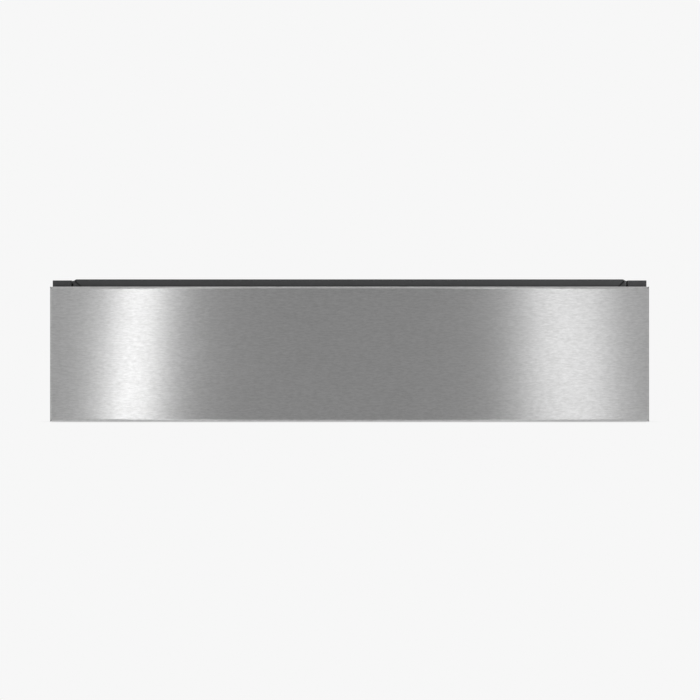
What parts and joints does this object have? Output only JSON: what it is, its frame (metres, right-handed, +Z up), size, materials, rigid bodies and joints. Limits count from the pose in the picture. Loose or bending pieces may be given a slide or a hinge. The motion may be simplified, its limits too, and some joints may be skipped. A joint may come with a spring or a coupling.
{
  "type": "built-in vacuum sealing drawer",
  "caption": "Push-to-open built-in drawer with a brushed steel front and dark frame, holding a vacuum chamber with glass lid, sealing bar and pump on full-extension runners.",
  "frame": {"origin": "middle of the footprint, on the surface that the housing stands on", "axes": "+Z up, the front faces -Y and the drawer slides out along -Y, +X to the right of someone looking at the front"},
  "size_m": [0.596, 0.55, 0.1423],
  "materials": {
    "housing_sheet": "galvanised sheet steel, dull grey",
    "frame_charcoal": "satin charcoal powder coat",
    "runner_zinc": "bright zinc plate",
    "screw_steel": "bright nickel",
    "latch_plastic": "fine texture",
    "inlet_plastic": "fine texture",
    "contact_brass": "plated",
    "latch_tip": "smooth acetal",
    "spring_steel": "spring wire",
    "cage_brass": "pressed strip with steel balls",
    "drawer_sheet": "galvanised sheet steel",
    "brushed_front": "brushed from side to side, clear anti-fingerprint coat",
    "deck_steel": "brushed from side to side",
    "chamber_steel": "satin, drawn",
    "gasket_silicone": "matt silicone",
    "filler_plastic": "food-safe white",
    "filter_plastic": "fine texture",
    "panel_glass": "black-backed glass",
    "circuit_board": "green solder resist with its parts",
    "motor_enamel": "black enamel",
    "pump_alloy": "die-cast",
    "mount_rubber": "matt",
    "hose_silicone": "translucent silicone",
    "fan_plastic": "smooth",
    "bar_alloy": "natural anodised",
    "lid_glass": "clear toughened glass, lightly grey",
    "counter_silicone": "matt red silicone",
    "grip_plastic": "satin"
  },
  "bodies": {
    "housing": {"carcass_base": "housing_sheet", "carcass_side_left": "housing_sheet", "carcass_side_right": "housing_sheet", "carcass_rear_panel": "housing_sheet", "rear_top_cover": "housing_sheet", "front_lintel": "frame_charcoal", "front_jamb_left": "frame_charcoal", "front_jamb_right": "frame_charcoal", "mounting_flange_left": "frame_charcoal", "mounting_flange_right": "frame_charcoal", "runner_bracket_left": "housing_sheet", "runner_bracket_right": "housing_sheet", "runner_outer_left": "runner_zinc", "runner_outer_right": "runner_zinc", "carcass_screws": "screw_steel", "push_latch_housing": "latch_plastic", "power_inlet": "inlet_plastic", "inlet_pins": "contact_brass"},
    "latch_plunger": {"latch_plunger": "latch_tip", "latch_spring": "spring_steel"},
    "runner_middle_left": {"runner_middle_left": "runner_zinc"},
    "runner_middle_right": {"runner_middle_right": "runner_zinc"},
    "ball_cage_outer_left": {"ball_cage_outer_left": "cage_brass"},
    "ball_cage_outer_right": {"ball_cage_outer_right": "cage_brass"},
    "ball_cage_inner_left": {"ball_cage_inner_left": "cage_brass"},
    "ball_cage_inner_right": {"ball_cage_inner_right": "cage_brass"},
    "fan_rotor": {"fan_rotor": "fan_plastic"},
    "seal_bar": {"seal_bar": "bar_alloy"},
    "lid": {"lid_glass": "lid_glass", "lid_rear_rail": "bar_alloy", "counter_bar": "counter_silicone", "lid_grip": "grip_plastic"},
    "drawer": {"drawer_bottom": "drawer_sheet", "drawer_side_left": "drawer_sheet", "drawer_side_right": "drawer_sheet", "drawer_front_wall": "drawer_sheet", "drawer_rear_wall": "drawer_sheet", "runner_inner_left": "runner_zinc", "runner_inner_right": "runner_zinc", "front_skin": "brushed_front", "front_backing": "housing_sheet", "deck": "deck_steel", "vacuum_chamber": "chamber_steel", "chamber_gasket": "gasket_silicone", "filler_plate": "filler_plastic", "suction_filter": "filter_plastic", "control_glass": "panel_glass", "control_board": "circuit_board", "rear_cover": "drawer_sheet", "deck_screws": "screw_steel", "pump_motor": "motor_enamel", "pump_head": "pump_alloy", "pump_mounts": "mount_rubber", "power_board": "circuit_board", "valve_block": "pump_alloy", "vacuum_hose": "hose_silicone", "fan_frame": "fan_plastic", "lift_cylinders": "chamber_steel", "lid_hinge_brackets": "deck_steel"}
  },
  "joints": [
    {"name": "drawer_slide", "type": "slide", "parent": "housing", "child": "drawer", "axis": [0, -1, 0], "range_m": [-0.0025, 0.43]},
    {"name": "runner_middle_left_slide", "type": "slide", "parent": "housing", "child": "runner_middle_left", "axis": [0, -1, 0], "range_m": [-0.00125, 0.215]},
    {"name": "ball_cage_outer_left_slide", "type": "slide", "parent": "housing", "child": "ball_cage_outer_left", "axis": [0, -1, 0], "range_m": [-0.00063, 0.1075]},
    {"name": "ball_cage_inner_left_slide", "type": "slide", "parent": "housing", "child": "ball_cage_inner_left", "axis": [0, -1, 0], "range_m": [-0.00187, 0.3225]},
    {"name": "runner_middle_right_slide", "type": "slide", "parent": "housing", "child": "runner_middle_right", "axis": [0, -1, 0], "range_m": [-0.00125, 0.215]},
    {"name": "ball_cage_outer_right_slide", "type": "slide", "parent": "housing", "child": "ball_cage_outer_right", "axis": [0, -1, 0], "range_m": [-0.00063, 0.1075]},
    {"name": "ball_cage_inner_right_slide", "type": "slide", "parent": "housing", "child": "ball_cage_inner_right", "axis": [0, -1, 0], "range_m": [-0.00187, 0.3225]},
    {"name": "lid_hinge", "type": "hinge", "parent": "drawer", "child": "lid", "pos_m": [0, 0.106, 0.119], "axis": [-1, 0, 0], "range_deg": [0, 65]},
    {"name": "seal_bar_lift", "type": "slide", "parent": "drawer", "child": "seal_bar", "axis": [0, 0, 1], "range_m": [0, 0.0065]},
    {"name": "fan_spin", "type": "hinge", "parent": "drawer", "child": "fan_rotor", "pos_m": [0.15, 0.222, 0.066], "axis": [0, 1, 0], "continuous": true},
    {"name": "latch_push", "type": "slide", "parent": "housing", "child": "latch_plunger", "axis": [0, 1, 0], "range_m": [0, 0.006], "stiffness_N_per_m": 300, "springref_m": -0.01, "deforming": ["latch_spring"]}
  ],
  "couplings": [
    {"joint": "runner_middle_left_slide", "follows": "drawer_slide", "ratio": 0.5},
    {"joint": "ball_cage_outer_left_slide", "follows": "drawer_slide", "ratio": 0.25},
    {"joint": "ball_cage_inner_left_slide", "follows": "drawer_slide", "ratio": 0.75},
    {"joint": "runner_middle_right_slide", "follows": "drawer_slide", "ratio": 0.5},
    {"joint": "ball_cage_outer_right_slide", "follows": "drawer_slide", "ratio": 0.25},
    {"joint": "ball_cage_inner_right_slide", "follows": "drawer_slide", "ratio": 0.75}
  ]
}
